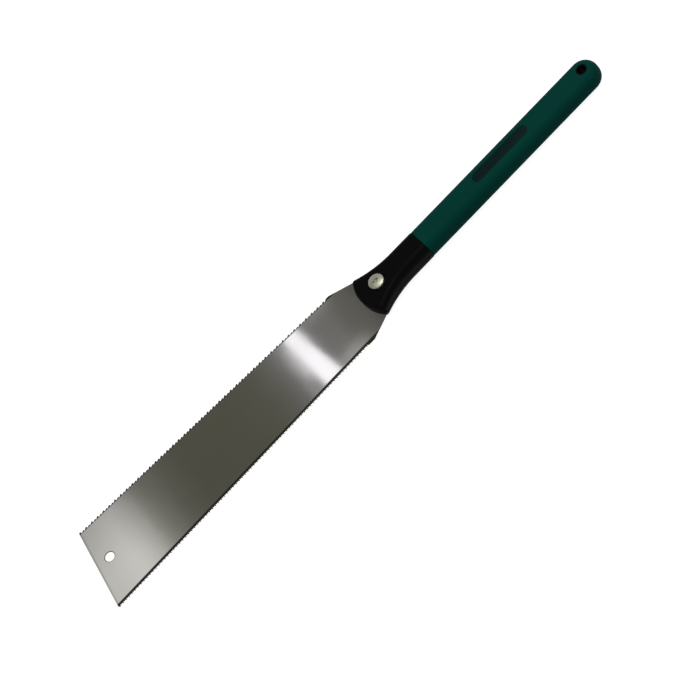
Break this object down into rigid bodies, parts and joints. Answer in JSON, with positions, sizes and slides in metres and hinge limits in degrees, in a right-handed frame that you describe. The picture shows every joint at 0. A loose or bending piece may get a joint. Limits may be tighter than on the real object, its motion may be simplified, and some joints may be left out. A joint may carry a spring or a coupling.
{
  "type": "ryoba saw",
  "caption": "Double-edged pull saw: a thin toothed blade clamped by a screw in the black head of a straight soft-grip handle, with hanging holes at toe and handle end.",
  "frame": {"origin": "middle of the saw's box in plan, on the surface that the handle's back lies on", "axes": "+X from the toe to the end of the handle, +Y to the ripping teeth, +Z out of the face with the clamp screw"},
  "size_m": [0.5384, 0.0766, 0.02],
  "materials": {
    "blade_steel": "fine-ground steel, teeth darkened by hardening",
    "black_nylon": "moulded black plastic, satin",
    "green_rubber": "matt soft-touch rubber, dark green",
    "inlay_plastic": "satin dark plate, blank",
    "plated_steel": "nickel plated",
    "core_screw_steel": "zinc plated"
  },
  "bodies": {
    "handle": {"front_core_shell": "black_nylon", "back_core_shell": "black_nylon", "grip_sleeve": "green_rubber", "grip_inlay": "inlay_plastic", "clamp_nut": "plated_steel", "core_screw_1": "core_screw_steel", "core_screw_2": "core_screw_steel", "core_screw_3": "core_screw_steel", "core_screw_4": "core_screw_steel"},
    "blade": {"saw_blade": "blade_steel"},
    "washer": {"clamp_washer": "plated_steel"},
    "screw": {"clamp_screw": "plated_steel"}
  },
  "joints": [
    {"name": "blade_slide", "type": "slide", "parent": "handle", "child": "blade", "axis": [-1, 0, 0], "range_m": [0, 0.042]},
    {"name": "screw_rise", "type": "slide", "parent": "handle", "child": "washer", "axis": [0, 0, 1], "range_m": [0, 0.002]},
    {"name": "screw_turn", "type": "hinge", "parent": "washer", "child": "screw", "pos_m": [0.03788, -0.00528, 0.0092], "axis": [0, 0, 1], "range_deg": [0, 720]}
  ],
  "couplings": [
    {"joint": "screw_turn", "follows": "screw_rise", "rad_per_m": 6283.2}
  ]
}
